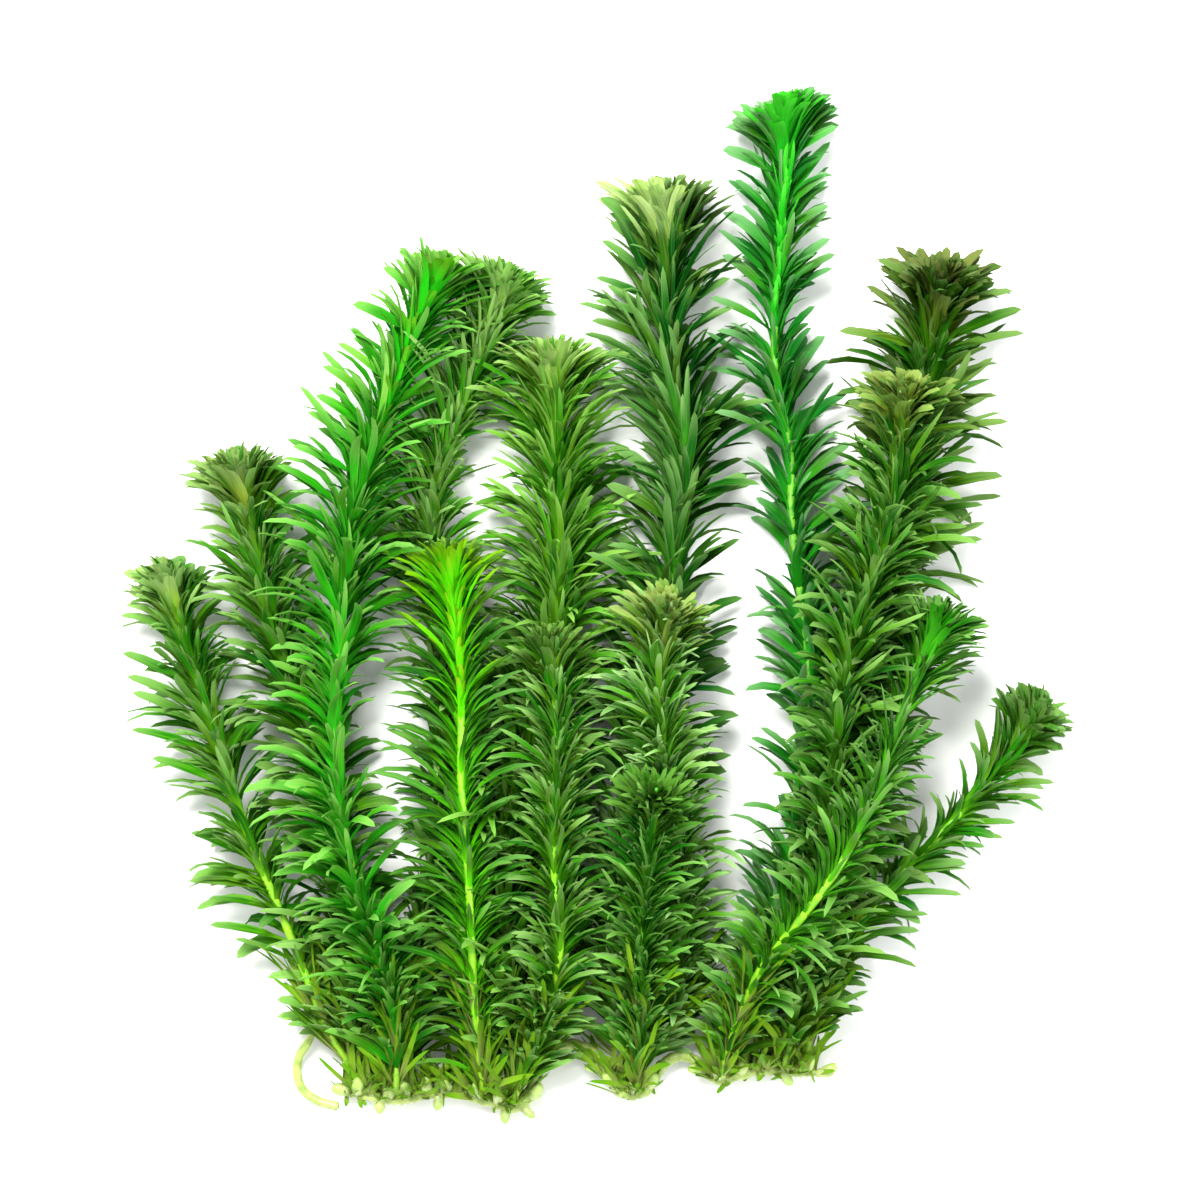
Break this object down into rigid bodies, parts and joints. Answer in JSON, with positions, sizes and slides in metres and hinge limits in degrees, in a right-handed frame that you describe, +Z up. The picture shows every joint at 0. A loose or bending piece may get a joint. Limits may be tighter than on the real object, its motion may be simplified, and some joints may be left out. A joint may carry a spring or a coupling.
{
  "type": "hydrilla plant",
  "caption": "Clump of long leafy underwater shoots joined at the foot by a creeping rhizome with a short curled runner, lying on its side.",
  "frame": {"origin": "middle of the laid-down clump's outline, on the surface it lies on", "axes": "+X to the picture's right, +Y from the rhizome towards the shoot tips, +Z up off the surface"},
  "size_m": [0.2352, 0.2468, 0.0503],
  "materials": {
    "foliage_bright": "wet satin leaf",
    "foliage_mid": "wet satin leaf",
    "foliage_dark": "wet satin leaf",
    "foliage_olive": "wet satin leaf",
    "stem_pale": "smooth moist stem"
  },
  "bodies": {
    "root": {"rhizome": "stem_pale", "runner": "stem_pale", "shoot_far_left": "foliage_mid", "shoot_left": "foliage_mid", "shoot_tall_left": "foliage_bright", "shoot_tall_back": "foliage_mid", "shoot_lime_front": "foliage_bright", "shoot_centre_back": "foliage_mid", "shoot_centre_front": "foliage_mid", "shoot_upper_centre": "foliage_dark", "shoot_mid_right_rear": "foliage_dark", "shoot_mid_right_front": "foliage_dark", "shoot_tallest": "foliage_bright", "shoot_olive_back": "foliage_olive", "shoot_olive_front": "foliage_olive", "shoot_right": "foliage_bright", "shoot_far_right": "foliage_mid"}
  },
  "joints": []
}
